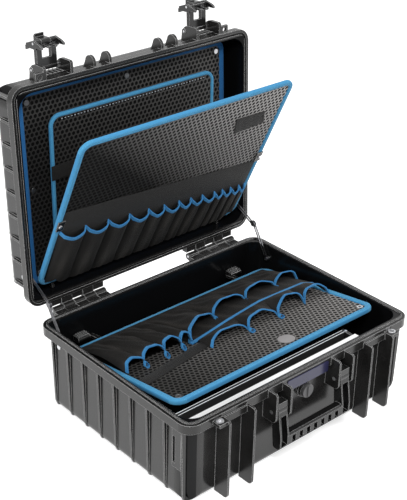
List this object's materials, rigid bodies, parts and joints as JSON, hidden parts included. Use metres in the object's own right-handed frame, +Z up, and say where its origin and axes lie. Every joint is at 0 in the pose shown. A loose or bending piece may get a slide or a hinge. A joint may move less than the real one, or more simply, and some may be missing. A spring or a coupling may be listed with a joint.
{
  "type": "tool case",
  "caption": "Ribbed hard plastic case with a hinged lid, double-throw latches, bail handle, folding stays and blue-edged pocket boards in the lid and base.",
  "frame": {"origin": "centre of the base's flat underside", "axes": "+X along the width to the right of someone facing the latches, +Y from the latches to the hinge, +Z up"},
  "size_m": [0.51, 0.5251, 0.6225],
  "materials": {
    "shell_plastic": "textured moulded",
    "black_plastic": "satin",
    "steel": "satin",
    "aluminium_rail": "satin",
    "seal_rubber": "matt",
    "navy_plate": "gloss",
    "board_plastic": "perforated",
    "blue_binding": "woven",
    "black_fabric": "woven",
    "grey_disc": "matt"
  },
  "bodies": {
    "base": {"base_shell": "shell_plastic", "padlock_eyelets": "steel", "name_plate": "navy_plate", "valve_body": "shell_plastic", "valve_seal": "seal_rubber", "handle_pins": "steel", "hinge_pin_left": "steel", "hinge_pin_right": "steel", "stay_rivets_base": "steel", "board_clips": "black_plastic", "rail_end_left": "black_plastic", "rail_end_right": "black_plastic", "front_rail": "aluminium_rail", "divider_channel": "aluminium_rail", "channel_screw": "steel"},
    "valve_knob": {"valve_knob": "black_plastic"},
    "handle": {"handle": "shell_plastic"},
    "lid": {"lid_shell": "shell_plastic", "lid_gasket": "seal_rubber", "latch_ear_pins": "steel", "stay_rivets_lid": "steel", "lid_board_fixed": "board_plastic", "lid_board_fixed_binding": "blue_binding", "lid_board_rivets": "steel", "lid_board_brackets": "black_plastic"},
    "base_board": {"base_board": "board_plastic", "base_board_binding": "blue_binding", "base_board_pivots": "black_plastic", "base_pockets_rear": "black_fabric", "base_pockets_front": "black_fabric", "base_board_webbing": "black_fabric", "base_board_eyelets": "steel", "base_board_disc": "grey_disc"},
    "lid_board_middle": {"lid_board_middle": "board_plastic", "lid_board_middle_binding": "blue_binding", "lid_board_middle_pivots": "black_plastic", "lid_board_middle_strap": "black_fabric"},
    "lid_board_front": {"lid_board_front": "board_plastic", "lid_board_front_binding": "blue_binding", "lid_board_front_pivots": "black_plastic", "lid_board_front_pockets": "black_fabric", "lid_board_front_webbing": "black_fabric", "lid_board_front_clips": "black_plastic", "lid_board_front_patch": "black_fabric"},
    "latch_link_left": {"latch_link_left": "shell_plastic", "latch_lever_pin_left": "steel"},
    "latch_lever_left": {"latch_lever_left": "shell_plastic"},
    "stay_lower_left": {"stay_lower_left": "steel", "stay_knee_left": "black_plastic"},
    "stay_upper_left": {"stay_upper_left": "steel"},
    "latch_link_right": {"latch_link_right": "shell_plastic", "latch_lever_pin_right": "steel"},
    "latch_lever_right": {"latch_lever_right": "shell_plastic"},
    "stay_lower_right": {"stay_lower_right": "steel", "stay_knee_right": "black_plastic"},
    "stay_upper_right": {"stay_upper_right": "steel"}
  },
  "joints": [
    {"name": "lid_hinge", "type": "hinge", "parent": "base", "child": "lid", "pos_m": [0, 0.214, 0.1535], "axis": [1, 0, 0], "range_deg": [0, 92.7]},
    {"name": "handle_swing", "type": "hinge", "parent": "base", "child": "handle", "pos_m": [0, -0.205, 0.1165], "axis": [-1, 0, 0], "range_deg": [0, 90]},
    {"name": "valve_turn", "type": "hinge", "parent": "base", "child": "valve_knob", "pos_m": [0, -0.196, 0.1135], "axis": [0, -1, 0], "range_deg": [0, 180]},
    {"name": "base_board_lift", "type": "hinge", "parent": "base", "child": "base_board", "pos_m": [0, 0.17, 0.1075], "axis": [1, 0, 0], "range_deg": [-58, 0]},
    {"name": "lid_board_middle_swing", "type": "hinge", "parent": "lid", "child": "lid_board_middle", "pos_m": [0, 0.24419, 0.23116], "axis": [1, 0, 0], "range_deg": [-2.41, 0]},
    {"name": "lid_board_front_swing", "type": "hinge", "parent": "lid", "child": "lid_board_front", "pos_m": [0, 0.22262, 0.22367], "axis": [1, 0, 0], "range_deg": [-30.01, 0]},
    {"name": "latch_link_left_swing", "type": "hinge", "parent": "lid", "child": "latch_link_left", "pos_m": [-0.1615, 0.27222, 0.57072], "axis": [1, 0, 0], "range_deg": [0, 90]},
    {"name": "latch_lever_left_swing", "type": "hinge", "parent": "latch_link_left", "child": "latch_lever_left", "pos_m": [-0.1615, 0.2742, 0.61267], "axis": [1, 0, 0], "range_deg": [0, 90]},
    {"name": "stay_lower_left_swing", "type": "hinge", "parent": "base", "child": "stay_lower_left", "pos_m": [-0.243, 0.145, 0.1295], "axis": [1, 0, 0], "range_deg": [0, 95.52]},
    {"name": "stay_upper_left_swing", "type": "hinge", "parent": "lid", "child": "stay_upper_left", "pos_m": [-0.243, 0.242, 0.2215], "axis": [1, 0, 0], "range_deg": [-106.38, 0]},
    {"name": "latch_link_right_swing", "type": "hinge", "parent": "lid", "child": "latch_link_right", "pos_m": [0.1615, 0.27222, 0.57072], "axis": [1, 0, 0], "range_deg": [0, 90]},
    {"name": "latch_lever_right_swing", "type": "hinge", "parent": "latch_link_right", "child": "latch_lever_right", "pos_m": [0.1615, 0.2742, 0.61267], "axis": [1, 0, 0], "range_deg": [0, 90]},
    {"name": "stay_lower_right_swing", "type": "hinge", "parent": "base", "child": "stay_lower_right", "pos_m": [0.243, 0.145, 0.1295], "axis": [1, 0, 0], "range_deg": [0, 95.52]},
    {"name": "stay_upper_right_swing", "type": "hinge", "parent": "lid", "child": "stay_upper_right", "pos_m": [0.243, 0.242, 0.2215], "axis": [1, 0, 0], "range_deg": [-106.38, 0]}
  ],
  "couplings": [
    {"joint": "lid_board_middle_swing", "follows": "lid_hinge", "ratio": -0.02589},
    {"joint": "lid_board_front_swing", "follows": "lid_hinge", "ratio": -0.32362},
    {"joint": "stay_lower_left_swing", "follows": "lid_hinge", "ratio": 1.0303},
    {"joint": "stay_upper_left_swing", "follows": "lid_hinge", "ratio": -1.1475},
    {"joint": "stay_lower_right_swing", "follows": "lid_hinge", "ratio": 1.0303},
    {"joint": "stay_upper_right_swing", "follows": "lid_hinge", "ratio": -1.1475}
  ]
}
